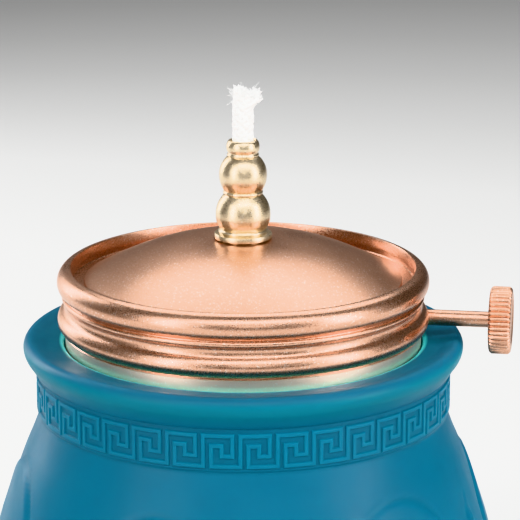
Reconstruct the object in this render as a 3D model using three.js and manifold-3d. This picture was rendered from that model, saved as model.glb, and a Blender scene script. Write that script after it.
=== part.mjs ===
// Oil lamp: moulded glass jar, lift-off metal lid, turned wick holder and side wick feed.
// Millimetres, +Z up. The origin is the middle of the jar's flat base.
import * as THREE from 'three';
import { mergeVertices } from 'three/addons/utils/BufferGeometryUtils.js';
import Module from 'manifold-3d';

const wasm = await Module();
wasm.setup();

// ---- Driving sizes ----
const gap = 0.3;                 // drawn between pieces that touch
const wickRadius = 2.15;
const wickShown = 12;            // above the holder
const tailLength = 60;           // free wick below the tube
const shaftRadius = 1.7;
const knobRadius = 7.25;
const knobWidth = 4.8;
const knobClear = 5.3;           // jar's lip to the knob's inner face
const knobRidges = 40;
const collarRadius = 40;         // over the two round beads
const lidHeight = 21;            // jar ledge to the crest of the collar
const domeRise = 8.4;
const holderHeight = 21.5;
const bodyHeight = 73;           // base to the groove under the neck
const bellyRadius = 55;
const bellyHeight = 37;
const footRadius = 38;
const jarWall = 4.4;
const jarFloor = 6;
const neckHeight = 16.8;
const ledgeDepth = 5.8;          // jar's rim down to the ledge under the seal
const skirtShown = 1.2;          // plain skirt between the rim and the lower bead
const leafCount = 6;
const leafRelief = 0.9;
const leafTurn = 19.6;           // degrees, first leaf from +X
const bodySegments = 54;

// ---- Sizes that follow from them ----
const mouthRadius = collarRadius - 1;
const boreRadius = mouthRadius - 3;
const lipRadius = mouthRadius + 8.5;
const neckRadius = mouthRadius + 5.9;
const jarTop = bodyHeight + neckHeight;
const ledge = jarTop - ledgeDepth;
const crest = ledge + lidHeight;
const beadScale = (lidHeight - ledgeDepth - skirtShown) / 14;  // the beads are drawn 14 mm high
const below = (depth) => crest - depth * beadScale;
const knobReach = lipRadius + knobClear;
const wheelRadius = wickRadius + 0.55;
const shaftOffset = wickRadius + gap + wheelRadius;
const shaftHeight = below(11.5);
const spindleRadius = shaftRadius - 0.5;
const tubeBore = wickRadius + 0.35;
const tubeRadius = tubeBore + 0.7;
const tubeBottom = ledge - 4;
const stubRadius = tubeRadius + gap + 1.1;
const stubHole = stubRadius + gap;

const glass = { color: 0x1f86ae, roughness: 0.45, metalness: 0 };
const copper = { color: 0xcb957a, roughness: 0.34, metalness: 0.9 };
const brass = { color: 0xdcc190, roughness: 0.3, metalness: 0.9 };
const steel = { color: 0xa9abad, roughness: 0.4, metalness: 0.9 };
const rubber = { color: 0x2b2b2c, roughness: 0.8, metalness: 0 };
const cotton = { color: 0xeeeae0, roughness: 0.95, metalness: 0 };

const group = new THREE.Group();
group.name = 'oil_lamp';

// ---- Helpers ----
function solid(geometry) {
  geometry.deleteAttribute('normal');
  geometry.deleteAttribute('uv');
  const welded = mergeVertices(geometry, 1e-4);
  const vertProperties = new Float32Array(welded.attributes.position.array);
  const triVerts = new Uint32Array(welded.index.array);
  return new wasm.Manifold(new wasm.Mesh({ numProp: 3, vertProperties, triVerts }));
}

function add(name, body, look) {
  const made = body.getMesh();
  const geometry = new THREE.BufferGeometry();
  geometry.setAttribute('position', new THREE.BufferAttribute(new Float32Array(made.vertProperties), 3));
  geometry.setIndex(new THREE.BufferAttribute(new Uint32Array(made.triVerts), 1));
  const mesh = new THREE.Mesh(geometry, new THREE.MeshStandardMaterial(look));
  mesh.name = name;
  group.add(mesh);
}

// Turned shape about Z. The section runs up the outside and back down the inside.
function turned(section, segments) {
  const points = section.map(([r, z]) => new THREE.Vector2(r, z));
  return solid(new THREE.LatheGeometry(points, segments).rotateX(Math.PI / 2));
}

function ring(inner, outer, bottom, top, segments) {
  const section = [[inner, bottom], [outer, bottom], [outer, top], [inner, top], [inner, bottom]];
  return turned(section, segments);
}

// Round bar along X through the feed shaft's axis.
function bar(radius, from, to, segments) {
  const geometry = new THREE.CylinderGeometry(radius, radius, to - from, segments).rotateZ(-Math.PI / 2);
  return solid(geometry.translate((from + to) / 2, shaftOffset, shaftHeight));
}

function block(width, depth, height, x, y, z) {
  return solid(new THREE.BoxGeometry(width, depth, height).translate(x, y, z));
}

// ---- Glass jar ----
// Each table is [height fraction, radius fraction] between two of the driving sizes.
const lowerBody = [[0.04, 0.07], [0.16, 0.25], [0.34, 0.52], [0.56, 0.77], [0.78, 0.94], [1, 1]];
const upperBody = [
  [0.16, 0.94], [0.32, 0.81], [0.47, 0.65], [0.62, 0.49], [0.76, 0.32], [0.88, 0.15], [1, 0],
];
const grooveRadius = neckRadius - 0.7;

function bodyCurve(offset) {
  const lower = lowerBody.map(([h, r]) => [footRadius + r * (bellyRadius - footRadius) + offset, h * bellyHeight]);
  const upper = upperBody.map(([h, r]) => [
    grooveRadius + r * (bellyRadius - grooveRadius) + offset,
    bellyHeight + h * (bodyHeight - bellyHeight),
  ]);
  return [...lower, ...upper];
}

const neck = [
  [neckRadius - 0.2, bodyHeight + 0.5], [neckRadius, bodyHeight + 0.9],
  [neckRadius, bodyHeight + 8.2], [neckRadius - 0.3, bodyHeight + 8.8],
  [neckRadius, bodyHeight + 9.8], [lipRadius - 1.3, jarTop - 5],
  [lipRadius - 0.3, jarTop - 3.3], [lipRadius, jarTop - 1.8], [lipRadius - 0.4, jarTop - 0.7],
  [lipRadius - 1.3, jarTop], [mouthRadius + 3.5, jarTop - 0.7], [mouthRadius + 0.4, jarTop - 0.9],
  [mouthRadius, jarTop - 1.3],
];
const inside = bodyCurve(-jarWall).filter(([r, z]) => z > jarFloor + 3 && r > boreRadius + 3.6).reverse();
const bore = [[mouthRadius, ledge], [boreRadius, ledge], [boreRadius, ledge - 5.5], [boreRadius + 2, bodyHeight - 0.5]];
const well = [[footRadius - 1, jarFloor + 2.6], [footRadius - 5, jarFloor + 0.5], [footRadius - 9, jarFloor], [0, jarFloor]];
const jarSection = [[0, 0], [footRadius, 0], ...bodyCurve(0), ...neck, ...bore, ...inside, ...well];
let jar = turned(jarSection, bodySegments);

// Raised leaves: a skin just proud of the body, kept only inside an arch pushed out from the axis.
function leaf(halfWidth, top, middle, relief, turn, points) {
  const arch = new THREE.Shape();
  arch.absellipse(0, 0, halfWidth, top - middle, 0, Math.PI * 2);
  const prism = new THREE.ExtrudeGeometry(arch, { depth: 40, bevelEnabled: false, curveSegments: points });
  prism.rotateX(Math.PI / 2).rotateZ(Math.PI / 2).translate(bellyRadius - 25, 0, middle);
  prism.rotateZ(THREE.MathUtils.degToRad(turn));
  const outer = bodyCurve(relief);
  const skin = [...outer, ...bodyCurve(-jarWall / 2).reverse(), outer[0]];
  return turned(skin, bodySegments).intersect(solid(prism));
}

for (let i = 0; i < leafCount; i += 1) {
  const pitch = 360 / leafCount;
  const turn = leafTurn + i * pitch;
  jar = jar.add(leaf(19.5, bodyHeight - 9, bellyHeight - 4, leafRelief, turn, 10));
  jar = jar.add(leaf(4.5, bodyHeight - 14.5, bellyHeight - 4, leafRelief - 0.3, turn + pitch / 2, 5));
}
add('glass_jar', jar, glass);

// ---- Lid: collar, domed plate, seal ----
const skirtBottom = ledge + 1.6;
const skirtInner = mouthRadius - 2.4;
const bandRadius = mouthRadius - 0.6;
const gutter = below(3.35);
const flangeTop = gutter - gap;
const flangeBottom = flangeTop - 1.5 * beadScale;
const flangeInner = collarRadius - 11.5;
const collarSection = [
  [skirtInner, skirtBottom], [bandRadius - 0.4, skirtBottom], [bandRadius, skirtBottom + 0.4],
  [bandRadius, below(14)], [collarRadius - 1.1, below(13.8)], [collarRadius - 0.35, below(12.8)],
  [collarRadius, below(11.2)], [collarRadius - 0.3, below(9.7)], [collarRadius - 1, below(8.8)],
  [collarRadius - 1.5, below(8.2)], [collarRadius - 1.5, below(7.1)], [collarRadius - 1.1, below(6.5)],
  [collarRadius - 1.1, below(5.9)], [collarRadius - 0.5, below(4.7)], [collarRadius, below(2.9)],
  [collarRadius - 0.35, below(1.4)], [collarRadius - 1.1, below(0.4)], [collarRadius - 2.1, crest],
  [collarRadius - 2.8, crest], [collarRadius - 3, below(0.3)], [collarRadius - 3, flangeTop],
  [flangeInner, flangeTop], [flangeInner, flangeBottom], [skirtInner, flangeBottom],
  [skirtInner, skirtBottom],
];
const bushRadius = shaftRadius + gap + 0.9;
let collar = turned(collarSection, bodySegments);
collar = collar.subtract(bar(bushRadius + gap, skirtInner - 6, collarRadius + 5, 20));

// Four screws hold the plate down on the collar's flange.
const screwCount = 4;
const screwCircle = collarRadius - 8.6;
const screwRadius = 0.9;

function screwPost(radius, bottom, top, index) {
  const angle = (index + 0.5) * (2 * Math.PI / screwCount);
  const post = new THREE.CylinderGeometry(radius, radius, top - bottom, 12).rotateX(Math.PI / 2);
  const x = screwCircle * Math.cos(angle);
  const y = screwCircle * Math.sin(angle);
  return solid(post.translate(x, y, (bottom + top) / 2));
}

const plateRadius = collarRadius - 5.85;
const plateEdge = below(2.6);
const plateau = plateEdge + domeRise;
const plateauRadius = stubRadius + 2.6;

function domeCurve(offset) {
  const steps = [0, 0.2, 0.4, 0.58, 0.75, 0.9];
  return steps.map((t) => {
    const r = plateauRadius + t * (plateRadius - plateauRadius);
    return [r, plateEdge + domeRise * (1 - t * t * (1.25 - 0.25 * t)) + offset];
  });
}

const plateThick = 1;
const plateSection = [
  [stubHole, plateau - plateThick], ...domeCurve(-plateThick).slice(0, 5),
  [plateRadius - 5, gutter], [plateRadius, gutter], [plateRadius, plateEdge - 0.2], [plateRadius - 0.3, plateEdge],
  ...domeCurve(0).reverse(), [stubHole, plateau], [stubHole, plateau - plateThick],
];
let plate = turned(plateSection, bodySegments);
for (let i = 0; i < screwCount; i += 1) {
  plate = plate.subtract(screwPost(screwRadius + gap, gutter - 1, plateEdge + 0.4, i));
  collar = collar.subtract(screwPost(screwRadius + gap, flangeBottom - 1, flangeTop + 1, i));
  const head = screwPost(screwRadius * 2, flangeBottom - gap - 1.4, flangeBottom - gap, i);
  const shank = screwPost(screwRadius, flangeBottom - gap - 0.2, plateEdge, i);
  add(`plate_screw_${i + 1}`, head.add(shank), steel);
}
add('lid_collar', collar, copper);
add('dome_plate', plate, copper);
const sealSection = [ledge + gap, skirtBottom - gap];
add('mouth_sealing_ring', ring(boreRadius + 0.4, mouthRadius - 0.4, ...sealSection, 48), rubber);

// ---- Wick holder and what clamps it ----
const holderBottom = plateau + gap;
const holderShape = [
  [stubRadius + 1.2, 0], [stubRadius + 1.55, 0.3], [stubRadius + 1.55, 0.9], [stubRadius + 1.2, 1.3],
  [stubRadius + 0.75, 1.5], [stubRadius + 0.75, 1.9], [stubRadius + 1.0, 3.0], [stubRadius + 1.25, 4.1],
  [stubRadius + 1.3, 5.1], [stubRadius + 1.15, 6.5], [stubRadius + 0.6, 8.2], [stubRadius - 0.15, 9.7],
  [stubRadius - 0.45, 10.0], [stubRadius - 0.2, 10.3], [stubRadius - 0.2, 10.8],
  [stubRadius + 0.25, 12.5], [stubRadius + 0.45, 14.3], [stubRadius + 0.2, 15.9], [stubRadius - 0.55, 17.4],
  [stubRadius - 1.3, 18.4], [stubRadius - 1.05, 18.7], [stubRadius - 1.05, 21.2], [stubRadius - 1.3, 21.5],
];
const holderScale = holderHeight / 21.5;
const stubBottom = holderBottom - 8.2;
const socketTop = stubBottom + 5.4;
const holderTop = holderBottom + holderHeight;
const holderSection = [
  [tubeRadius + gap, stubBottom], [stubRadius, stubBottom], [stubRadius, holderBottom],
  ...holderShape.map(([r, h]) => [r, holderBottom + h * holderScale]),
  [tubeBore + 0.3, holderTop], [tubeBore, holderTop - 0.4], [tubeBore, socketTop],
  [tubeRadius + gap, socketTop], [tubeRadius + gap, stubBottom],
];
add('wick_holder', turned(holderSection, 28), brass);

const washerTop = plateau - plateThick - gap;
const washerBottom = washerTop - 1;
const bracketTop = washerBottom - gap;
const bracketThick = 1.2;
const nutTop = bracketTop - bracketThick - gap;
const nutHeight = 2.2;
add('holder_washer', ring(stubHole, stubRadius + 2.2, washerBottom, washerTop, 24), steel);
const nutBlank = new THREE.CylinderGeometry(stubRadius + 2.8, stubRadius + 2.8, nutHeight, 6).rotateX(Math.PI / 2);
const nutBore = ring(0, stubHole, nutTop - nutHeight - 1, nutTop + 1, 24);
add('holder_lock_nut', solid(nutBlank.translate(0, 0, nutTop - nutHeight / 2)).subtract(nutBore), brass);

const tubeTop = socketTop - gap;
const wheelWidth = 3.2;
const slotHeight = wheelRadius * 2;
const slot = block(wheelWidth + 1, tubeRadius * 2, slotHeight, 0, tubeRadius + wickRadius / 2, shaftHeight);
add('wick_tube', ring(tubeBore, tubeRadius, tubeBottom, tubeTop, 24).subtract(slot), brass);

// ---- Stirrup that carries the inner end of the shaft ----
const cheekInner = stubRadius + 3.6;
const cheekOuter = cheekInner + bracketThick;
const bracketBack = shaftOffset + 3.4;
const bracketFront = -5.2;
const bracketDepth = bracketBack - bracketFront;
const bracketMiddle = (bracketBack + bracketFront) / 2;
const cheekBottom = shaftHeight - 3.4;
const bracketHeight = bracketTop - cheekBottom;
const bracketBlank = block(cheekOuter * 2, bracketDepth, bracketHeight, 0, bracketMiddle, cheekBottom + bracketHeight / 2);
const bracketRoom = block(
  cheekInner * 2, bracketDepth + 2, bracketHeight,
  0, bracketMiddle, cheekBottom + bracketHeight / 2 - bracketThick,
);
const bracketHole = ring(0, stubHole, bracketTop - bracketThick - 1, bracketTop + 1, 24);
const spindleHole = bar(spindleRadius + gap, -cheekOuter - 1, cheekOuter + 1, 16);
add('feed_bracket', bracketBlank.subtract(bracketRoom).subtract(bracketHole).subtract(spindleHole), steel);

// ---- Wick feed: shaft, toothed wheel, clip, bush and knob ----
const shoulder = cheekOuter + gap;
const knobOuter = knobReach + knobWidth;
const clipInner = -cheekOuter - gap;
const clipThick = 0.8;
const spindle = bar(spindleRadius, clipInner - clipThick - 1.2, shoulder + 1, 16);
add('feed_shaft', spindle.add(bar(shaftRadius, shoulder, knobOuter - 0.8, 20)), steel);

// Outline with teeth, pushed along X, with a round hole for the shaft.
function toothed(teeth, tip, root, hole, from, to, bevel) {
  const outline = new THREE.Shape();
  for (let i = 0; i < teeth * 2; i += 1) {
    const angle = i * Math.PI / teeth;
    const radius = i % 2 === 0 ? tip - bevel : root - bevel;
    const x = radius * Math.cos(angle);
    const y = radius * Math.sin(angle);
    if (i === 0) outline.moveTo(x, y);
    else outline.lineTo(x, y);
  }
  outline.closePath();
  const settings = {
    depth: to - from - 2 * bevel, bevelEnabled: bevel > 0,
    bevelThickness: bevel, bevelSize: bevel, bevelSegments: 1,
  };
  const geometry = new THREE.ExtrudeGeometry(outline, settings).rotateY(Math.PI / 2);
  return solid(geometry.translate(from + bevel, shaftOffset, shaftHeight)).subtract(bar(hole, from - 1, to + 1, 20));
}

const wheelHalf = wheelWidth / 2;
const wheel = toothed(8, wheelRadius, wheelRadius - 0.5, spindleRadius + gap, -wheelHalf, wheelHalf, 0);
add('feed_wheel', wheel, brass);
const knobRoot = knobRadius - 0.45;
const knob = toothed(knobRidges, knobRadius, knobRoot, shaftRadius + gap, knobReach, knobOuter, 0.5);
add('feed_knob', knob, copper);

const clipDisc = bar(spindleRadius + 1.7, clipInner - clipThick, clipInner, 20);
const clipMouth = block(clipThick * 4, 3, spindleRadius * 2, clipInner, shaftOffset + 2, shaftHeight);
const clipHole = bar(spindleRadius + gap, clipInner - clipThick * 2, clipInner + clipThick, 20);
add('shaft_clip', clipDisc.subtract(clipMouth).subtract(clipHole), steel);

const bushSide = shaftOffset + bushRadius + 1.3;
const bushSeat = Math.sqrt(skirtInner ** 2 - bushSide ** 2) - gap;
const bushEnd = Math.sqrt(collarRadius ** 2 - bushSide ** 2) - 0.8;
const bushFlange = bar(bushRadius + 1.3, bushSeat - 1.3, bushSeat, 20);
const bushSleeve = bar(bushRadius, bushSeat - 0.5, bushEnd, 20);
const bushBore = bar(shaftRadius + gap, bushSeat - 3, bushEnd + 2, 20);
add('shaft_bush', bushFlange.add(bushSleeve).subtract(bushBore), brass);

// ---- Wick ----
const wickTop = holderTop + wickShown;
const wickSection = [
  [0, tubeBottom + gap], [wickRadius, tubeBottom + gap], [wickRadius, wickTop - 5.6],
  [wickRadius + 0.5, wickTop - 4.2], [wickRadius + 1, wickTop - 2], [wickRadius + 0.8, wickTop - 0.8],
  [wickRadius - 0.2, wickTop], [0, wickTop],
];
add('wick', turned(wickSection, 16), cotton);

const tailRound = new THREE.Shape();
tailRound.absarc(0, 0, wickRadius, 0, Math.PI * 2);
const tailBottom = tubeBottom - tailLength;
const tailPath = new THREE.CatmullRomCurve3([
  new THREE.Vector3(0, 0, tubeBottom),
  new THREE.Vector3(0.2, 0, tubeBottom - tailLength / 3),
  new THREE.Vector3(0.3, 0.2, tubeBottom - tailLength * 2 / 3),
  new THREE.Vector3(0.2, 0.3, tailBottom),
]);
const tail = new THREE.ExtrudeGeometry(tailRound, { steps: 7, extrudePath: tailPath, curveSegments: 10 });
add('wick_tail', solid(tail), cotton);

export default group;
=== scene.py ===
# %% [markdown]
# # A frosted glass oil lamp
# The lamp is a heavy glass jar with a metal lid lifted in and out of its mouth. A domed plate lies in the
# lid, a small turned holder stands on the plate and grips a cotton wick, and a knurled knob on a long
# shaft feeds the wick up and down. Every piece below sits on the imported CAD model, which is loaded first
# and stays as the frame; all sizes are in metres in Blender and in millimetres in the tables.

# %% Load the frame
import math
import random
import bmesh
import bpy
from mathutils import Matrix, Vector


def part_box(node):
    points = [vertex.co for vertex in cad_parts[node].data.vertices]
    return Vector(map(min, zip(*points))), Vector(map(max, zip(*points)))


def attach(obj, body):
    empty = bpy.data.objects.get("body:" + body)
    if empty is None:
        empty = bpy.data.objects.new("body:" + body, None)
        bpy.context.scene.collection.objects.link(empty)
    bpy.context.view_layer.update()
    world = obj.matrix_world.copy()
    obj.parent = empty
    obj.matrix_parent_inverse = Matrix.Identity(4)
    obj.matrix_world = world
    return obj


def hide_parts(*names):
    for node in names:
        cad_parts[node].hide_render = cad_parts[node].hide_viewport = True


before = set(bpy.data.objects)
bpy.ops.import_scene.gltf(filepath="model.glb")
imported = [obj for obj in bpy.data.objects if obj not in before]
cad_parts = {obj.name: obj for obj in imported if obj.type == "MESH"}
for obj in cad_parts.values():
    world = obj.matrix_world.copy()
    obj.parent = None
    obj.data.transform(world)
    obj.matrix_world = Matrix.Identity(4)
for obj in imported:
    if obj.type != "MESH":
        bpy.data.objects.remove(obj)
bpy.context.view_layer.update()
MM = 0.001

# %% [markdown]
# Where things are is read from the CAD boxes once and given plain names, so that each piece can say how
# far it lies above the base, the jar's rim or the lid's crest.

# %% Heights and radii taken from the CAD nodes
def top_of(node):
    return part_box(node)[1].z / MM


def bottom_of(node):
    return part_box(node)[0].z / MM


crest = top_of("lid_collar")
skirt_bottom = bottom_of("lid_collar")
rim = top_of("glass_jar")
collar_radius = 40.0
mouth_radius = collar_radius - 1
neck_radius = mouth_radius + 5.9
band_radius = neck_radius - 0.4
shaft_low, shaft_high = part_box("feed_shaft")
shaft_y = (shaft_low.y + shaft_high.y) / 2 / MM
shaft_z = (shaft_low.z + shaft_high.z) / 2 / MM
print("crest", round(crest, 2), "rim", round(rim, 2), "shaft at", round(shaft_y, 2), round(shaft_z, 2))

# %% [markdown]
# ## Camera
# The lamp is seen close up from a little above and slightly towards the knob, through a long lens, so the
# rings of the lid read as flat ovals. Only the lid, the wick and the shoulders of the jar are in view.

# %% The camera
VIEW_TURN = math.radians(8.6)
VIEW_RISE = math.radians(15.13)
STAND_OFF = 0.573
SENSOR_WIDTH, LENS = 36, 184.7
SIDE_SHIFT = 0.0036
ABOVE_CREST = 1.03
side_step = Vector((math.cos(VIEW_TURN), math.sin(VIEW_TURN), 0)) * SIDE_SHIFT
back = Vector((
    math.sin(VIEW_TURN) * math.cos(VIEW_RISE),
    -math.cos(VIEW_TURN) * math.cos(VIEW_RISE),
    math.sin(VIEW_RISE),
))
aim = Vector((0, 0, (crest + ABOVE_CREST) * MM)) + side_step
camera = bpy.data.objects.new("camera", bpy.data.cameras.new("camera"))
bpy.context.scene.collection.objects.link(camera)
camera.data.sensor_width = SENSOR_WIDTH
camera.data.lens = LENS
camera.location = aim + back * STAND_OFF
camera.rotation_euler = (-back).to_track_quat("-Z", "Y").to_euler()
bpy.context.scene.camera = camera
bpy.context.scene.view_settings.view_transform = "Khronos PBR Neutral"
print("camera at", [round(v, 3) for v in camera.location])

# %% [markdown]
# ## The hanging end of the wick
# Below its tube the wick is a limp cord that hangs in the oil. It is a plain round tube along the same four
# points as its CAD solid, smoothed into a line of short steps. It is drawn as a curve with a thickness,
# which is the easy way to sweep a tube, and turned into a mesh, as the wick's yarns are later on.

# %% A smooth line through a few points
def flowing(points, steps=6):
    """Catmull-Rom points through the given ones, ends included."""
    line = []
    for i in range(len(points) - 1):
        a, b = points[max(i - 1, 0)], points[i]
        c, d = points[i + 1], points[min(i + 2, len(points) - 1)]
        for s in range(steps):
            t = s / steps
            line.append(tuple(
                0.5 * (
                    2 * q + (r - p) * t + (2 * p - 5 * q + 4 * r - w) * t * t
                    + (3 * q - p - 3 * r + w) * t ** 3
                )
                for p, q, r, w in zip(a, b, c, d)
            ))
    line.append(tuple(points[-1]))
    return line


# %% Threads drawn as curves
def threads_to_mesh(name, strands, thickness, sides):
    """One mesh from many strands, each a list of (x, y, z, relative thickness), in millimetres."""
    curve = bpy.data.curves.new(name, "CURVE")
    curve.dimensions = "3D"
    curve.bevel_depth = thickness * MM
    curve.bevel_resolution = sides
    curve.use_fill_caps = True
    for strand_points in strands:
        spline = curve.splines.new("POLY")
        spline.points.add(len(strand_points) - 1)
        for point, (x, y, z, r) in zip(spline.points, strand_points):
            point.co = (x * MM, y * MM, z * MM, 1)
            point.radius = r
    holder_object = bpy.data.objects.new(name, curve)
    mesh = bpy.data.meshes.new_from_object(holder_object)
    bpy.data.objects.remove(holder_object)
    bpy.data.curves.remove(curve)
    return mesh


# %% The cord
wick_radius = 2.15
tube_bottom = bottom_of("wick_tube")
tail_length = 60.0
tail_route = flowing([
    (0, 0, tube_bottom),
    (0.2, 0, tube_bottom - tail_length / 3),
    (0.3, 0.2, tube_bottom - tail_length * 2 / 3),
    (0.2, 0.3, tube_bottom - tail_length),
], 7)
tail_mesh = threads_to_mesh("hanging_wick", [[(*point, 1) for point in tail_route]], wick_radius, 6)
for face in tail_mesh.polygons:
    face.use_smooth = True
hanging_wick = bpy.data.objects.new("hanging_wick", tail_mesh)
bpy.context.scene.collection.objects.link(hanging_wick)
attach(hanging_wick, "wick")
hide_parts("wick_tail")
print("hanging wick:", len(tail_route), "points")

# %% [markdown]
# ## Shared effects for the materials
# Three effects are used by more than one finish, so each is a node group with named inputs: a fine
# speckle like blasted and plated metal, turning marks that run round the lamp's axis, and the broad,
# faint smudges that handling leaves. Each gives only a mask from 0 to 1, which a material turns into
# colour, roughness or bump. The speckle also gives a mask of painted glints, which the metals mix into
# their colour as painted highlights.

# %% Small helpers for node trees
def group_of(name, inputs, outputs):
    """An empty node group with float inputs and outputs."""
    tree = bpy.data.node_groups.new(name, "ShaderNodeTree")
    for label, value in inputs.items():
        kind = "NodeSocketVector" if value is None else "NodeSocketFloat"
        socket = tree.interface.new_socket(name=label, in_out="INPUT", socket_type=kind)
        if value is not None:
            socket.default_value = value
    for label in outputs:
        tree.interface.new_socket(name=label, in_out="OUTPUT", socket_type="NodeSocketFloat")
    return tree, tree.nodes.new("NodeGroupInput"), tree.nodes.new("NodeGroupOutput")


def node(tree, kind, settings=None, **links):
    """Adds a node, sets its properties, and links or fills its inputs by name or number."""
    made = tree.nodes.new(kind)
    for label, value in (settings or {}).items():
        setattr(made, label, value)
    for label, value in links.items():
        by_number = label[0] == "_" and label[1:].isdigit()
        socket = made.inputs[int(label[1:]) if by_number else label.replace("_", " ")]
        if isinstance(value, bpy.types.NodeSocket):
            tree.links.new(value, socket)
        else:
            socket.default_value = value
    return made


def ramp(tree, value, low, high, to_low=0.0, to_high=1.0):
    """Maps a value from one span to another, without going past either end."""
    made = node(tree, "ShaderNodeMapRange", {"clamp": True}, Value=value)
    for label, number in zip(("From Min", "From Max", "To Min", "To Max"), (low, high, to_low, to_high)):
        made.inputs[label].default_value = number
    return made.outputs["Result"]


# %% The three effects
speckle_and_glint, ins, outs = group_of("plated_speckle_and_glint", {"Place": None, "Scale": 2600.0}, ["Height", "PaintedGlint"])
spread = {"Vector": ins.outputs["Place"], "Scale": ins.outputs["Scale"]}
grains = node(speckle_and_glint, "ShaderNodeTexNoise", Detail=2.0, **spread)
# Painted glints: the brightest Voronoi cells make a mask of bright spots that the metals paint into their
# colour as highlights.
cells = node(speckle_and_glint, "ShaderNodeTexVoronoi", **spread)
picked = node(speckle_and_glint, "ShaderNodeSeparateColor", _0=cells.outputs["Color"])
speckle_and_glint.links.new(grains.outputs[0], outs.inputs["Height"])
speckle_and_glint.links.new(ramp(speckle_and_glint, picked.outputs[0], 0.93, 0.99), outs.inputs["PaintedGlint"])

turning, ins, outs = group_of("turning_marks", {"Place": None, "Scale": 900.0}, ["Height"])
spot = node(turning, "ShaderNodeSeparateXYZ", _0=ins.outputs["Place"])
flat = node(turning, "ShaderNodeCombineXYZ", X=spot.outputs[0], Y=spot.outputs[1])
reach = node(turning, "ShaderNodeVectorMath", {"operation": "LENGTH"}, _0=flat.outputs[0])
both = node(turning, "ShaderNodeCombineXYZ", X=reach.outputs["Value"], Z=spot.outputs[2])
lines = node(turning, "ShaderNodeTexNoise", Vector=both.outputs[0], Scale=ins.outputs["Scale"], Detail=3.0)
turning.links.new(lines.outputs[0], outs.inputs["Height"])

smudge, ins, outs = group_of("handling_smudge", {"Place": None, "Scale": 60.0}, ["Mask"])
spread = {"Vector": ins.outputs["Place"], "Scale": ins.outputs["Scale"]}
clouds = node(smudge, "ShaderNodeTexNoise", Detail=4.0, **spread)
smudge.links.new(ramp(smudge, clouds.outputs[0], 0.35, 0.7), outs.inputs["Mask"])
print("shared effects:", speckle_and_glint.name, turning.name, smudge.name)


# %% A material with its shader and place ready
def finish_named(name, **sockets):
    """A new material: its tree, its Principled shader, and the object coordinates."""
    made = bpy.data.materials.new(name)
    made.use_nodes = True
    tree = made.node_tree
    shader = tree.nodes["Principled BSDF"]
    for label, value in sockets.items():
        shader.inputs[label.replace("_", " ")].default_value = value
    place = tree.nodes.new("ShaderNodeTexCoord").outputs["Object"]
    return made, tree, shader, place


def effect(tree, shared, place, scale):
    """Places a shared effect in a material with a scale of its own."""
    made = node(tree, "ShaderNodeGroup", {"node_tree": shared}, Place=place, Scale=scale)
    return made.outputs


def mixed(tree, mask, first, second):
    """Colour that goes from first to second with the mask."""
    made = node(tree, "ShaderNodeMix", {"data_type": "RGBA"}, _0=mask)
    for slot_number, colour in ((6, first), (7, second)):
        if isinstance(colour, bpy.types.NodeSocket):
            tree.links.new(colour, made.inputs[slot_number])
        else:
            made.inputs[slot_number].default_value = (*colour, 1)
    return made.outputs[2]


def bumped(tree, height, distance, strength=1.0, under=None):
    made = node(tree, "ShaderNodeBump", Height=height, Distance=distance, Strength=strength)
    if under is not None:
        tree.links.new(under, made.inputs["Normal"])
    return made.outputs["Normal"]


# %% [markdown]
# ## Metal finishes
# The lid is satin rose-gold plate over a blasted surface: soft reflections, a fine grainy sparkle painted
# into the colour as bright glints, and a little darker tone where the plate is thin. The skirt that goes
# into the jar is the same plate, painted a paler champagne below the lower bead for the light it catches,
# a painted sheen, so the colour changes with height. The holder is paler, smoother brass. The hidden
# washers and screws are zinc-plated steel.

# %% Rose plate, pale brass and steel
def plated(name, deep, light, roughness, grain, skirt=None):
    """Metallic finish whose tone, roughness and bump come from the plated grain, turning marks and smudges;
    bright grain cells are painted in as glints, and a skirt tone, when given, paints a lighter sheen below
    the beads.
    """
    made, tree, shader, place = finish_named(name, Metallic=1.0)
    dots = effect(tree, speckle_and_glint, place, grain)
    marks = effect(tree, turning, place, 1300.0)
    hands = effect(tree, smudge, place, 55.0)
    tone = mixed(tree, ramp(tree, dots["Height"], 0.3, 0.7), deep, light)
    painted_sheen_area = None
    if skirt:
        height = node(tree, "ShaderNodeSeparateXYZ", _0=place).outputs[2]
        # Painted sheen: below the lower bead the same plate is painted a lighter champagne for the light the
        # skirt catches.
        painted_sheen_area = ramp(tree, height, (crest - 13.7) * MM, (crest - 14.0) * MM)
        tone = mixed(tree, painted_sheen_area, tone, skirt)
    # Painted glints: where that mask is set, the tone goes towards near-white, a painted highlight.
    tone = mixed(tree, ramp(tree, dots["PaintedGlint"], 0, 1, 0, 0.5), tone, (1.0, 0.93, 0.86))
    tree.links.new(tone, shader.inputs["Base Color"])
    worn = node(tree, "ShaderNodeMath", {"operation": "ADD"}, _0=ramp(tree, hands["Mask"], 0, 1, -0.02, 0.03))
    tree.links.new(ramp(tree, dots["Height"], 0.3, 0.7, roughness - 0.05, roughness + 0.05), worn.inputs[1])
    if skirt:
        duller = {"_0": painted_sheen_area, "_1": 0.12, "_2": worn.outputs[0]}
        worn = node(tree, "ShaderNodeMath", {"operation": "MULTIPLY_ADD"}, **duller)
    tree.links.new(worn.outputs[0], shader.inputs["Roughness"])
    grainy = bumped(tree, dots["Height"], 0.00002, 0.4)
    tree.links.new(bumped(tree, marks["Height"], 0.00001, 0.12, grainy), shader.inputs["Normal"])
    return made


rose_tones = (0.50, 0.262, 0.172), (0.71, 0.435, 0.308)
rose_plate = plated("rose_plate", *rose_tones, 0.33, 4600.0)
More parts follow.
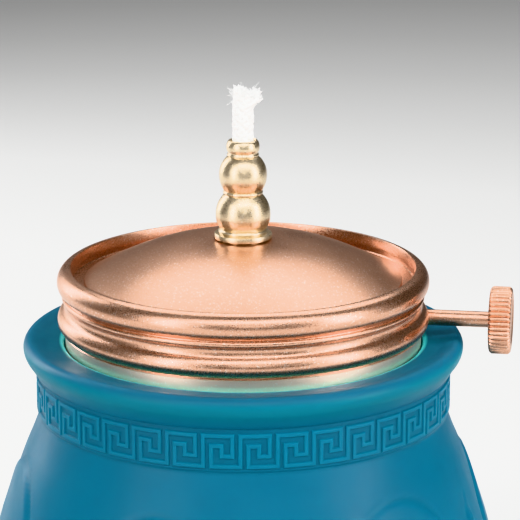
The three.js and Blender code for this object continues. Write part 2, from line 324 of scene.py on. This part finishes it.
# Painted sheen on the collar's skirt, standing in for light on the same rose plate.
painted_skirt_sheen = (0.93, 0.70, 0.56)
collar_plate = plated("collar_plate", *rose_tones, 0.30, 4600.0, painted_skirt_sheen)
pale_brass = plated("pale_brass", (0.60, 0.46, 0.29), (0.88, 0.74, 0.53), 0.32, 4600.0)
zinc_steel = plated("zinc_steel", (0.42, 0.43, 0.45), (0.62, 0.63, 0.65), 0.38, 1800.0)
print("metals:", rose_plate.name, collar_plate.name, pale_brass.name, zinc_steel.name)

# %% [markdown]
# ## Frosted glass
# The jar is blue-green glass with an etched skin. Light goes a few millimetres in and comes out softened,
# which subsurface scattering gives more cheaply than clear glass with a rough surface. The glow of thin
# edges, such as the arris of the mouth and the lip, is painted in a lighter cyan, the lip's top gets a
# painted grey sheen and the key's grooves a painted shade, so the colour is mixed by height and distance
# from the axis. A very fine grain in the bump is the etching, and a broad one is the mould.

# %% The glass
frosted_glass, tree, shader, place = finish_named(
    "frosted_glass", Metallic=0.0, IOR=1.45, Transmission_Weight=0.12, Subsurface_Weight=0.5,
    Subsurface_Scale=0.003, Subsurface_Radius=(0.25, 0.8, 1.0), Specular_IOR_Level=0.16,
)
etched = effect(tree, speckle_and_glint, place, 5200.0)
mould = effect(tree, smudge, place, 30.0)
breath = effect(tree, smudge, place, 95.0)
spot = node(tree, "ShaderNodeSeparateXYZ", _0=place)
flat = node(tree, "ShaderNodeCombineXYZ", X=spot.outputs[0], Y=spot.outputs[1])
reach = node(tree, "ShaderNodeVectorMath", {"operation": "LENGTH"}, _0=flat.outputs[0]).outputs["Value"]
streaks = ramp(tree, mould["Mask"], 0, 1, 0.2, 0.8)
body_tone = mixed(tree, streaks, (0.002, 0.088, 0.154), (0.003, 0.112, 0.190))
low_down = ramp(tree, spot.outputs[2], (rim - 20) * MM, (rim - 42) * MM, 0, 0.45)
body_tone = mixed(tree, low_down, body_tone, (0.004, 0.126, 0.212))
in_band = node(tree, "ShaderNodeMath", {"operation": "MULTIPLY"},
               _0=ramp(tree, spot.outputs[2], (rim - 16.2) * MM, (rim - 15.8) * MM),
               _1=ramp(tree, spot.outputs[2], (rim - 7.2) * MM, (rim - 7.6) * MM)).outputs[0]
on_ridge = ramp(tree, reach, (band_radius + 0.05) * MM, (band_radius + 0.30) * MM)
# Painted shade: the key's grooves, below the ridges' height, get a darker blue for the shade that falls in
# them.
key_painted_groove_shade = mixed(tree, on_ridge, (0.002, 0.092, 0.158), (0.003, 0.120, 0.196))
body_tone = mixed(tree, in_band, body_tone, key_painted_groove_shade)
# Painted glow: the lip's flare below the rim is painted a lighter cyan for light coming through the thin
# glass.
painted_lip_glow = ramp(tree, spot.outputs[2], (rim - 6.5) * MM, (rim - 3.5) * MM)
lip_tone_painted_light = mixed(tree, painted_lip_glow, body_tone, (0.001, 0.130, 0.185))
# Painted sheen: the lip's upward face is painted greyer, for the light it catches from above.
painted_top_sheen = ramp(tree, spot.outputs[2], (rim - 1.6) * MM, (rim - 0.6) * MM)
lip_tone_painted_light = mixed(tree, painted_top_sheen, lip_tone_painted_light, (0.008, 0.100, 0.168))
# Painted glow: the thin arris at the mouth is painted a bright cyan line, a painted highlight.
arris_glow_in = ramp(tree, reach, (mouth_radius + 0.9) * MM, (mouth_radius + 0.3) * MM)
arris_glow_up = ramp(tree, spot.outputs[2], (rim - 2.6) * MM, (rim - 1.6) * MM)
painted_arris_glow = node(tree, "ShaderNodeMath", {"operation": "MULTIPLY"}, _0=arris_glow_in, _1=arris_glow_up).outputs[0]
tree.links.new(mixed(tree, painted_arris_glow, lip_tone_painted_light, (0.07, 0.62, 0.68)), shader.inputs["Base Color"])
tree.links.new(ramp(tree, breath["Mask"], 0, 1, 0.42, 0.54), shader.inputs["Roughness"])
skin = bumped(tree, etched["Height"], 0.00002, 0.35)
tree.links.new(bumped(tree, mould["Mask"], 0.0002, 0.2, skin), shader.inputs["Normal"])
print("glass:", frosted_glass.name)

# %% [markdown]
# ## Cotton and rubber
# Cotton is a rough, bright white with a soft sheen and a tone that varies from thread to thread. The seal
# is plain black rubber with a dusty bloom.

# %% Cotton and rubber
white_cotton, tree, shader, place = finish_named(
    "white_cotton", Roughness=0.9, Sheen_Weight=0.3,
)
threads = effect(tree, smudge, place, 1400.0)
fuzz = effect(tree, speckle_and_glint, place, 7000.0)
whites = mixed(tree, threads["Mask"], (0.80, 0.80, 0.79), (0.93, 0.93, 0.92))
tree.links.new(whites, shader.inputs["Base Color"])
tree.links.new(bumped(tree, fuzz["Height"], 0.0001, 0.6), shader.inputs["Normal"])

black_rubber, tree, shader, place = finish_named("black_rubber", Roughness=0.75)
bloom = effect(tree, smudge, place, 300.0)
pores = effect(tree, speckle_and_glint, place, 2500.0)
blacks = mixed(tree, bloom["Mask"], (0.016, 0.016, 0.017), (0.045, 0.044, 0.043))
tree.links.new(blacks, shader.inputs["Base Color"])
tree.links.new(bumped(tree, pores["Height"], 0.00005, 0.4), shader.inputs["Normal"])
print("soft finishes:", white_cotton.name, black_rubber.name)

# %% [markdown]
# ## Turned pieces
# Nearly every piece here comes off a lathe or out of a round mould. Each is drawn as half a section,
# radius against height, and spun once round the axis. The spin merges its seam, doubles at the axis are
# merged too, and the normals are recalculated, because a spin can come out inside out.

# %% Spinning a section
def spun(section, steps):
    """A bmesh from a section of (radius, height) in millimetres. It is closed unless it ends on the axis."""
    shape = bmesh.new()
    ring = [shape.verts.new((r * MM, 0, h * MM)) for r, h in section]
    lines = [shape.edges.new(pair) for pair in zip(ring, ring[1:])]
    if section[0][0] > 0:
        lines.append(shape.edges.new((ring[-1], ring[0])))
    bmesh.ops.spin(
        shape, geom=ring + lines, cent=(0, 0, 0), axis=(0, 0, 1), dvec=(0, 0, 0),
        angle=2 * math.pi, steps=steps, use_merge=True, use_duplicate=False,
    )
    bmesh.ops.remove_doubles(shape, verts=shape.verts, dist=1e-7)
    bmesh.ops.recalc_face_normals(shape, faces=shape.faces)
    return shape


def made_piece(name, shape, body, material, stands_for, sharp=40):
    """Turns a bmesh into a smooth-shaded piece with crisp corners, ties it to its body, and hides the CAD
    nodes it stands for.
    """
    for face in shape.faces:
        face.smooth = True
    for edge in shape.edges:
        if edge.is_manifold and edge.calc_face_angle() > math.radians(sharp):
            edge.smooth = False
    mesh = bpy.data.meshes.new(name)
    shape.to_mesh(mesh)
    shape.free()
    mesh.materials.append(material)
    piece = bpy.data.objects.new(name, mesh)
    bpy.context.scene.collection.objects.link(piece)
    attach(piece, body)
    if stands_for:
        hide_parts(*stands_for)
    print(name, len(mesh.polygons), "faces")
    return piece


def arc(centre_r, centre_h, radius, start, stop, steps=10):
    """Points on a round of the section, angles in degrees from outwards towards up."""
    turns = [math.radians(start + (stop - start) * i / steps) for i in range(steps + 1)]
    return [(centre_r + radius * math.cos(t), centre_h + radius * math.sin(t)) for t in turns]


# %% [markdown]
# ## The jar
# The jar is blown in a mould: a round body with six raised leaves and a slim bud between each pair, a
# straight neck with a key pattern, and a lip that flares out and rounds over. It could be built from
# separate rings and leaves, but real moulded glass is one skin, so one section is spun with many columns
# and the relief is made on that skin. Twelve columns belong to each unit of the key, so that the sides of
# its ridge can fall on column lines.

# %% The jar's section
FOOT, BELLY, BELLY_HEIGHT, BODY_HEIGHT, WALL, FLOOR = 38.0, 55.0, 37.0, 73.0, 4.4, 6.0
LEDGE_DEPTH = 5.8
throat = neck_radius - 0.7
lower = [(0.04, 0.07), (0.16, 0.25), (0.34, 0.52), (0.56, 0.77), (0.78, 0.94), (1, 1)]
upper = [(0.16, 0.94), (0.32, 0.81), (0.47, 0.65), (0.62, 0.49), (0.76, 0.32), (0.88, 0.15), (1, 0)]
body = [(FOOT + r * (BELLY - FOOT), h * BELLY_HEIGHT) for h, r in lower]
body += [(throat + r * (BELLY - throat), BELLY_HEIGHT + h * (BODY_HEIGHT - BELLY_HEIGHT)) for h, r in upper]
key_rows = [0.75, 1.25, 1.8, 2.35, 3.45, 4.0, 4.55, 5.6, 6.15, 6.75, 7.75, 8.3, 8.85, 9.4]
lip = flowing([
    (band_radius, BODY_HEIGHT + 9.5), (band_radius + 0.05, BODY_HEIGHT + 9.75),
    (neck_radius + 0.2, BODY_HEIGHT + 10.2),
    (46.1, rim - 5), (47.1, rim - 3.5), (47.5, rim - 2.1), (47.3, rim - 1.1), (46.7, rim - 0.35), (45.8, rim),
    (44.6, rim - 0.2), (42.5, rim - 0.7), (mouth_radius + 0.3, rim - 0.9),
], 3)
outside = [(0, 0), (20, 0), (FOOT - 1, 0), (FOOT - 0.2, 0.3), *flowing(body, 6)]
outside += [(throat, BODY_HEIGHT + 0.35), (band_radius - 0.1, BODY_HEIGHT + 0.7)]
outside += [(band_radius, BODY_HEIGHT + h) for h in key_rows] + lip[1:]
ledge = rim - LEDGE_DEPTH
bore = mouth_radius - 3
inner_body = [(r - WALL, h) for r, h in body if h > FLOOR + 3 and r - WALL > bore + 3.6][::-1]
inner_curve = [(bore, ledge - 5.5), (bore + 2, BODY_HEIGHT - 0.5), *inner_body, (FOOT - 1, FLOOR + 2.6)]
inside = [
    (mouth_radius - 0.2, rim - 1.3), (mouth_radius - 0.2, ledge + 0.3), (mouth_radius - 0.5, ledge),
    (bore + 0.5, ledge), (bore, ledge - 0.5), (bore, ledge - 5.5), *flowing(inner_curve, 2)[1:],
    (FOOT - 5, FLOOR + 0.5), (FOOT - 9, FLOOR), (14, FLOOR), (0, FLOOR),
]
print("jar section:", len(outside), "points outside,", len(inside), "inside")

# %% [markdown]
# The key pattern is one raised ridge that runs right round the neck: in each unit it climbs, runs along
# the top, turns down, winds into the middle and out again, and leaves along the bottom. The columns of
# the neck are first turned a little, so that they fall on the ridge's sides; then the ridge's faces are
# picked by row and column and inset outwards with one operator, which gives the ridge sloping sides.

# %% Spin the jar and raise the key
KEY_UNITS, KEY_COLUMNS = 37, 12
RIDGE_SLOPE, RIDGE_HEIGHT = 0.22, 0.34
key_lines = [0, 0.07, 0.14, 0.215, 0.285, 0.355, 0.50, 0.57, 0.64, 0.785, 0.855, 0.925, 1.0]
key_start = VIEW_TURN - math.pi / 2 + math.radians(0.58) - 0.1775 * 2 * math.pi / KEY_UNITS
key_strokes = [
    (0, 1, 1, 11), (0, 10, 10, 11), (9, 10, 4, 11), (6, 10, 4, 5),
    (6, 7, 4, 8), (3, 7, 7, 8), (3, 4, 1, 8), (3, 11, 1, 2),
]
key_cells = {
    (row, column)
    for left, right, low, high in key_strokes
    for row in range(low, high + 1) for column in range(left, right + 1)
}

jar = spun(outside + inside, KEY_UNITS * KEY_COLUMNS)
unit_turn = 2 * math.pi / KEY_UNITS
column_turn = unit_turn / KEY_COLUMNS
bmesh.ops.rotate(jar, verts=jar.verts, cent=(0, 0, 0), matrix=Matrix.Rotation(key_start, 3, "Z"))


def column_at(x, y):
    """How far round a point is, counted in columns from the first unit's start."""
    return ((math.atan2(y, x) - key_start) % (2 * math.pi)) / column_turn


key_low, key_high = BODY_HEIGHT + key_rows[0], BODY_HEIGHT + key_rows[-1]
for vert in jar.verts:
    height = vert.co.z / MM
    if key_low - 0.1 < height < key_high + 0.1 and vert.co.xy.length > (bore + 5) * MM:
        step = round(column_at(*vert.co.xy))
        unit, line = divmod(step, KEY_COLUMNS)
        turn = key_start + (unit + key_lines[line]) * unit_turn
        reach_out = vert.co.xy.length
        vert.co.x, vert.co.y = reach_out * math.cos(turn), reach_out * math.sin(turn)

ridge = []
for face in jar.faces:
    middle = face.calc_center_median()
    height = middle.z / MM - BODY_HEIGHT
    if middle.xy.length > (band_radius - 0.5) * MM and key_rows[0] < height < key_rows[-1]:
        row = sum(height > edge for edge in key_rows) - 1
        along = ((math.atan2(middle.y, middle.x) - key_start) % (2 * math.pi)) / unit_turn % 1
        column = sum(along > edge for edge in key_lines) - 1
        if (row, column) in key_cells:
            ridge.append(face)
bmesh.ops.inset_region(
    jar, faces=ridge, thickness=RIDGE_SLOPE * MM, depth=RIDGE_HEIGHT * MM,
    use_boundary=True, use_even_offset=True,
)
print("key ridge:", len(ridge), "faces, jar:", len(jar.faces))

# %% [markdown]
# The leaves are soft swellings with a shallow gutter round them. Their outline is an oval, and how far a
# point lies inside it, in millimetres, decides how much it is lifted along its own normal. The buds are
# pointed ovals between the leaves, with a fold down the middle.

# %% Lift the leaves and buds
LEAVES = 6
LEAF_HALF_WIDTH, LEAF_HALF_HEIGHT, LEAF_LIFT, LEAF_GUTTER = 19.5, 31, 0.5, 0.28
BUD_HALF_WIDTH, BUD_HALF_HEIGHT, BUD_LIFT, BUD_FOLD = 4.6, 25.5, 0.45, 0.3
leaf_turn = math.radians(19.6)
leaf_middle = BELLY_HEIGHT - 4


def smooth(value, low, high):
    """0 at low, 1 at high, soft at both ends."""
    t = min(max((value - low) / (high - low), 0), 1)
    return t * t * (3 - 2 * t)


def inside_oval(across, up, half_width, half_height):
    """Distance inside an oval's outline, roughly in millimetres; negative outside."""
    ring = math.hypot(across / half_width, up / half_height)
    slope = math.hypot(across / half_width ** 2, up / half_height ** 2) / max(ring, 1e-6)
    return (1 - ring) / max(slope, 1e-6)


def relief(turn, height, radius):
    """How far the mould stands proud at this point, in millimetres."""
    pitch = 2 * math.pi / LEAVES
    off_leaf = (turn - leaf_turn + pitch / 2) % pitch - pitch / 2
    off_bud = (turn - leaf_turn) % pitch - pitch / 2
    leaf = inside_oval(off_leaf * radius, height - leaf_middle, LEAF_HALF_WIDTH, LEAF_HALF_HEIGHT)
    lift = LEAF_LIFT * smooth(leaf, -0.2, 1.0) - LEAF_GUTTER * smooth(-abs(leaf + 0.5), -0.8, 0)
    bud_width = BUD_HALF_WIDTH * max(1 - ((height - leaf_middle) / BUD_HALF_HEIGHT) ** 2, 0.02)
    bud = bud_width - abs(off_bud * radius)
    if abs(height - leaf_middle) < BUD_HALF_HEIGHT:
        lift += BUD_LIFT * smooth(bud, -0.2, 0.9) - BUD_FOLD * smooth(-abs(off_bud * radius), -0.8, 0)
    return lift


jar.normal_update()
for vert in jar.verts:
    radius = vert.co.xy.length / MM
    height = vert.co.z / MM
    if 2 < height < BODY_HEIGHT - 3 and vert.normal.xy.dot(vert.co.xy) > 0 and radius > FOOT:
        lift = relief(math.atan2(vert.co.y, vert.co.x), height, radius)
        vert.co += vert.normal * lift * MM
bmesh.ops.recalc_face_normals(jar, faces=jar.faces)
made_piece("moulded_jar", jar, "jar", frosted_glass, ["glass_jar"], 50)

# %% [markdown]
# ## The lid
# The collar is spun brass: two full round beads with a stepped hollow between them, a rolled crest, and a
# plain skirt below. The plate inside it is a shallow dome with its own small edge, so a dark gutter shows
# round it. Both are turned sections.

# %% Collar and plate
RING_STEPS = 288
FLANGE_THICK, PLATE_THICK = 1.5, 1
LOWER_BEAD, UPPER_BEAD = 2.6, 3.0
gutter = crest - 3.35
flange_top = gutter - 0.3
inner_wall = collar_radius - 3
hollow = [
    (1.48, 8.6), (1.58, 8.1), (1.55, 7.6), (1.38, 7.15), (1.1, 6.75), (1.0, 6.45),
    (1.02, 6.1), (1.2, 5.9), (1.5, 5.8), (1.56, 5.68),
]
collar_section = [
    (mouth_radius - 2.4, skirt_bottom), (mouth_radius - 1.0, skirt_bottom),
    (mouth_radius - 0.6, skirt_bottom + 0.4), (mouth_radius - 0.6, crest - 14.05),
    (mouth_radius - 0.45, crest - 13.9), (collar_radius - 1.5, crest - 13.85),
    *arc(collar_radius - LOWER_BEAD, crest - 11.25, LOWER_BEAD, -68, 60, 14),
    *[(collar_radius - inwards, crest - down) for inwards, down in hollow],
    *arc(collar_radius - UPPER_BEAD, crest - 3.0, UPPER_BEAD, -58, 78, 16),
    (collar_radius - 2.75, crest), (inner_wall + 0.1, crest - 0.06), (inner_wall, crest - 0.25),
    (inner_wall, flange_top + 0.2), (inner_wall - 0.2, flange_top), (collar_radius - 11.5, flange_top),
    (collar_radius - 11.5, flange_top - FLANGE_THICK), (mouth_radius - 2.6, flange_top - FLANGE_THICK),
    (mouth_radius - 2.4, flange_top - 1.7),
]
collar_shape = spun(collar_section, RING_STEPS)
made_piece("spun_collar", collar_shape, "lid", collar_plate, ["lid_collar"])

plate_edge = crest - 2.6
plateau = top_of("dome_plate")
plate_radius = collar_radius - 5.85
stub_hole = 4.9
flat_radius = 7.2
dome = []
for i in range(25):
    t = i / 24
    r = flat_radius + t * (plate_radius - 0.35 - flat_radius)
    dome.append((r, plate_edge + (plateau - plate_edge) * (1 - t * t * (1.25 - 0.25 * t))))
plate_section = [(stub_hole, plateau - PLATE_THICK), (flat_radius, plateau - PLATE_THICK)]
plate_section += [(r, h - PLATE_THICK) for r, h in dome[2:19]]
plate_section += [(plate_radius - 5, gutter), (plate_radius - 0.1, gutter)]
plate_section += [(plate_radius, gutter + 0.1), (plate_radius, plate_edge - 0.3)]
plate_section += [(plate_radius - 0.1, plate_edge - 0.08)] + dome[::-1] + [(stub_hole, plateau)]
plate_shape = spun(plate_section, RING_STEPS)
made_piece("domed_plate", plate_shape, "lid", rose_plate, ["dome_plate"])

# %% [markdown]
# ## Wick holder
# The holder is a small double bulb on a flange, with a fine bead at its waist and a ring round its cup.
# It is one turned section again, bored for the wick, with the threaded stub below the plate left plain.

# %% The holder
holder_bottom = plateau + 0.3
holder_top = top_of("wick_holder")
lower_bulb = flowing([
    (5.0, 2.1), (5.5, 3.1), (5.78, 4.2), (5.85, 5.2), (5.7, 6.6), (5.15, 8.1), (4.2, 9.5),
], 4)
upper_bulb = flowing([
    (4.15, 10.5), (4.75, 11.8), (5.05, 13.1), (5.05, 14.5), (4.75, 15.8), (4.1, 17.0), (3.35, 17.8),
], 4)
stub_bottom = bottom_of("wick_holder")
profile = [
    (6.0, 0), (6.15, 0.12), (6.17, 0.3), (6.17, 0.95), (6.1, 1.12), (5.9, 1.2), (5.35, 1.25), (5.2, 1.35),
    (5.3, 1.5), (5.32, 1.7), (5.2, 1.9), *lower_bulb,
    (4.05, 9.62), (4.15, 9.75), (4.25, 9.92), (4.25, 10.12), (4.15, 10.3), (4.05, 10.4), *upper_bulb,
    (3.2, 17.9), (3.3, 18.0), (3.38, 18.15), (3.36, 18.35), (3.22, 18.5), (3.18, 18.65),
    (3.25, 18.85), (3.42, 19.15), (3.52, 19.6), (3.52, 20.1), (3.44, 20.6), (3.28, 21.0), (3.05, 21.3),
]
DRAWN_HEIGHT = 21.5
scale = (holder_top - holder_bottom) / DRAWN_HEIGHT
holder_section = [(3.5, stub_bottom), (4.6, stub_bottom), (4.6, holder_bottom)]
holder_section += [(r, holder_bottom + h * scale) for r, h in profile]
socket_top = stub_bottom + 5.4
wick_bore = 2.5
holder_section += [(2.8, holder_top - 0.1), (wick_bore, holder_top - 0.5)]
holder_section += [(wick_bore, socket_top), (3.5, socket_top)]
holder_shape = spun(holder_section, 128)
made_piece("turned_holder", holder_shape, "lid", pale_brass, ["wick_holder"])

# %% [markdown]
# ## Feed shaft and knob
# The shaft is turned with a thinner spindle inside the lid. The knob is a short drum with straight
# knurling: forty rounded ridges, cut deeper than they are wide at the ends so that the rims look
# scalloped. Both are spun about Z like the rest and then laid along X in mesh space.

# %% Shaft
def laid_along_x(shape):
    """Turns a piece spun about Z so its axis lies on the feed shaft's axis, Z becoming X."""
    bmesh.ops.rotate(shape, verts=shape.verts, cent=(0, 0, 0), matrix=Matrix.Rotation(math.pi / 2, 3, "Y"))
    bmesh.ops.translate(shape, verts=shape.verts, vec=(0, shaft_y * MM, shaft_z * MM))
    return shape


shaft_start, shaft_end = shaft_low.x / MM, shaft_high.x / MM
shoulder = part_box("feed_bracket")[1].x / MM + 0.3
shaft_section = [
    (0, shaft_start), (0.9, shaft_start), (1.2, shaft_start + 0.3), (1.2, shoulder), (1.55, shoulder),
    (1.7, shoulder + 0.15), (1.7, shaft_end - 0.4), (1.3, shaft_end), (0, shaft_end),
]
shaft_shape = laid_along_x(spun(shaft_section, 48))
made_piece("turned_shaft", shaft_shape, "feed", rose_plate, ["feed_shaft"])

# %% Knurled knob
KNURLS, KNURL_STEPS, KNURL_DEPTH = 40, 8, 0.45
knob_low, knob_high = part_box("feed_knob")
knob_in, knob_out = knob_low.x / MM, knob_high.x / MM
knob_radius = 7.25
knob_section = [
    (2.0, knob_in + 0.3), (2.3, knob_in), (6.2, knob_in), (6.75, knob_in + 0.12), (7.05, knob_in + 0.35),
    (knob_radius, knob_in + 0.7), (knob_radius, knob_out - 0.7), (7.05, knob_out - 0.35),
    (6.75, knob_out - 0.12), (6.2, knob_out), (5.2, knob_out), (4.9, knob_out - 0.25),
    (3.0, knob_out - 0.25), (2.0, knob_out - 0.4),
]
knob_shape = spun(knob_section, KNURLS * KNURL_STEPS)
for vert in knob_shape.verts:
    out = vert.co.xy.length / MM
    wave = 0.5 + 0.5 * math.cos(KNURLS * math.atan2(vert.co.y, vert.co.x))
    depth = KNURL_DEPTH * smooth(out, 6.3, 7.0)
    vert.co.xy *= 1 - depth * (1 - wave ** 0.45) / out
knob_shape = laid_along_x(knob_shape)
made_piece("knurled_knob", knob_shape, "feed", rose_plate, ["feed_knob"])

# %% [markdown]
# ## The wick
# A round lamp wick is a braid of cotton yarns. Fourteen yarns cross over and under round a soft core, and
# above the holder they loosen, lean to the knob's side and fray into fibres. Yarns and fibres are drawn as
# thin curves, which give their thickness and taper by themselves, and are then turned into one mesh. The
# knob can draw the wick down by 5.8 mm, so nothing wider than the plain braid starts below that height.

# %% Braid and fray
random.seed(7)
wick_bottom = bottom_of("wick")
WICK_SHOWN, PLAIN_BRAID = 10.4, 6.1
ONE_ROUND = 11.0
YARN_RADIUS, FIBRE_RADIUS, HAIR_RADIUS = 0.54, 0.1, 0.035
wick_top = holder_top + WICK_SHOWN
flare_start = holder_top + PLAIN_BRAID
lean = Vector((math.cos(VIEW_TURN), math.sin(VIEW_TURN), 0))
YARNS = 14
yarns, ends = [], []
for i in range(YARNS):
    handed = 1 if i % 2 else -1
    start = 2 * math.pi * i / YARNS
    stop = wick_top + random.uniform(-0.7, 0.5)
    final = start + handed * 2 * math.pi * (wick_top - wick_bottom) / ONE_ROUND
    rightward = Vector((math.cos(final), math.sin(final), 0)).dot(lean)
    if rightward > 0.15:
        stop -= 1.3 * rightward
    line = []
    steps = 170
    for s in range(steps + 1):
        z = wick_bottom + (stop - wick_bottom) * s / steps
        turn = start + handed * 2 * math.pi * (z - wick_bottom) / ONE_ROUND
        over = 0.16 * math.sin(YARNS / 2 * (turn * handed - start) + i * math.pi / 2)
        loose = smooth(z, flare_start, wick_top)
        outward = Vector((math.cos(turn), math.sin(turn), 0))
        side = lean * 0.4 * loose
        side += lean * loose * 2.3 * max(rightward, 0)
        place_now = outward * (1.66 + over + 0.1 * loose) + side
        line.append((place_now.x, place_now.y, z, 1 + 0.2 * loose))
    yarns.append(line)
    ends.append((Vector(line[-1][:3]), (Vector(line[-1][:3]) - Vector(line[-9][:3])).normalized()))
for _ in range(12):
    turn, reach_now = random.uniform(0, 2 * math.pi), 1.3 * math.sqrt(random.random())
    shift = random.uniform(0, 2.2)
    stop = wick_top - 0.4 - 0.6 * shift
    inner = []
    for s in range(24):
        z = flare_start - 2 + (stop - flare_start + 2) * s / 23
        loose = smooth(z, flare_start, wick_top)
        place_now = Vector((math.cos(turn), math.sin(turn), 0)) * reach_now + lean * loose * (0.25 + shift)
        inner.append((place_now.x, place_now.y, z, 1 + 0.3 * loose))
    yarns.append(inner)
    ends.append((Vector(inner[-1][:3]), Vector((0, 0, 1))))
core = [(0.3 * smooth(z, flare_start, wick_top) * lean.x, 0, z, 3.1) for z in
        [wick_bottom + (wick_top - 1.2 - wick_bottom) * s / 40 for s in range(41)]]
yarn_mesh = threads_to_mesh("yarns", yarns + [core], YARN_RADIUS, 3)

fibres = []
for tip, heading in ends:
    for _ in range(46):
        scatter = Vector([random.gauss(0, 0.6) for _ in range(3)])
        direction = (heading + Vector((0, 0, 0.5)) + scatter).normalized()
        position = tip + Vector([random.gauss(0, 0.32) for _ in range(3)]) - heading * 0.5
        strand_line = []
        reach_length = random.uniform(0.4, 1.3)
        for s in range(6):
            strand_line.append((*position, 1 - 0.12 * s))
            direction = (direction + Vector([random.gauss(0, 0.16) for _ in range(3)])).normalized()
            position = position + direction * reach_length / 5
        fibres.append(strand_line)
fibre_mesh = threads_to_mesh("fibres", fibres, FIBRE_RADIUS, 0)

hairs = []
for _ in range(100):
    z = random.uniform(flare_start + 0.7, wick_top + 0.4)
    turn = random.uniform(0, 2 * math.pi)
    outward = Vector((math.cos(turn), math.sin(turn), 0))
    position = outward * 2.0 + Vector((0, 0, z)) + lean * 0.5 * smooth(z, flare_start, wick_top)
    direction = (outward + Vector((0, 0, random.uniform(-0.4, 0.9))) - lean * 0.2).normalized()
    strand_line = []
    length_here = random.uniform(0.5, 1.4) + (1.8 * random.random() if z > wick_top - 2 else 0)
    for s in range(8):
        strand_line.append((*position, 1 - 0.08 * s))
        direction = (direction + Vector([random.gauss(0, 0.28) for _ in range(3)])).normalized()
        position = position + direction * length_here / 7
    hairs.append(strand_line)
hair_mesh = threads_to_mesh("hairs", hairs, HAIR_RADIUS, 0)

wick_shape = bmesh.new()
for part in (yarn_mesh, fibre_mesh, hair_mesh):
    wick_shape.from_mesh(part)
    bpy.data.meshes.remove(part)
made_piece("braided_wick", wick_shape, "wick", white_cotton, ["wick"], 60)

# %% [markdown]
# ## Finishes on the CAD pieces that stay
# The clamp under the plate, the stirrup, the tube, wheel, bush, screws and seal are plain shop parts, and
# their CAD shapes are right as they are, so they only need their finishes.

# %% Finish the CAD pieces
kept = {
    "holder_washer": zinc_steel, "feed_bracket": zinc_steel, "shaft_clip": zinc_steel,
    "holder_lock_nut": pale_brass, "wick_tube": pale_brass,
    "feed_wheel": pale_brass, "shaft_bush": pale_brass,
    "mouth_sealing_ring": black_rubber,
}
kept.update({f"plate_screw_{i}": zinc_steel for i in range(1, 5)})
for name, material in kept.items():
    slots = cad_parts[name].material_slots
    for slot_here in slots:
        slot_here.material = material
hanging_wick.data.materials.append(white_cotton)
print("finished CAD pieces:", len(kept))

# %% [markdown]
# ## Floor and light
# A pale floor runs away behind the lamp. Two tall soft boxes stand in front, one at each side, and a wide
# one hangs above them for the bright lines along the beads. A fourth hangs overhead at the back for the
# dome, a narrow one behind on the left draws the bright edge of the rings, and a weak one in the middle
# fills the dark spots of the turned holder. The boxes are hidden from the camera and still show in the metal.

# %% Floor
FLOOR_HALF_WIDTH, FLOOR_BELOW = 6, 0.0002
floor_mesh = bpy.data.meshes.new("floor")
floor_shape = bmesh.new()
bmesh.ops.create_grid(floor_shape, x_segments=1, y_segments=1, size=FLOOR_HALF_WIDTH)
bmesh.ops.translate(floor_shape, verts=floor_shape.verts, vec=(0, 0, -FLOOR_BELOW))
floor_shape.to_mesh(floor_mesh)
floor_shape.free()
floor = bpy.data.objects.new("floor", floor_mesh)
bpy.context.scene.collection.objects.link(floor)
floor_finish, tree, shader, place = finish_named("pale_floor", Roughness=0.8)
shader.inputs["Base Color"].default_value = (0.66, 0.66, 0.655, 1)
floor_mesh.materials.append(floor_finish)


# %% Lights
LIGHT_AIM = Vector((0, 0, 0.1))
WORLD_STRENGTH = 0.11


def soft_box(name, azimuth, rise, distance, width, height, power, tint=(1, 1, 1)):
    """An area light that looks at the lid. Azimuth is seen from the camera, positive to the right."""
    turn = VIEW_TURN + math.radians(azimuth)
    lift_up = math.radians(rise)
    way = Vector((math.sin(turn) * math.cos(lift_up), -math.cos(turn) * math.cos(lift_up), math.sin(lift_up)))
    light = bpy.data.lights.new(name, "AREA")
    light.shape = "RECTANGLE"
    light.size, light.size_y, light.energy, light.color = width, height, power, tint
    lamp = bpy.data.objects.new(name, light)
    bpy.context.scene.collection.objects.link(lamp)
    lamp.location = LIGHT_AIM + way * distance
    lamp.rotation_euler = (-way).to_track_quat("-Z", "Y").to_euler()
    lamp.visible_camera = False


soft_box("left_box", -45, 16, 0.8, 0.13, 0.68, 5.8)
soft_box("right_box", 62, 14, 0.8, 0.20, 0.7, 8.0)
soft_box("top_box", 175, 60, 0.8, 0.85, 0.38, 5.4)
soft_box("front_box", 8, 50, 0.8, 0.9, 0.2, 6.6)
soft_box("fill_box", 6, 20, 1.0, 0.4, 0.3, 0.8)
soft_box("edge_box", -130, 16, 0.7, 0.12, 0.5, 3.4)
world = bpy.data.worlds.new("studio")
bpy.context.scene.world = world
world.use_nodes = True
world.node_tree.nodes["Background"].inputs["Color"].default_value = (1, 1, 1, 1)
world.node_tree.nodes["Background"].inputs["Strength"].default_value = WORLD_STRENGTH
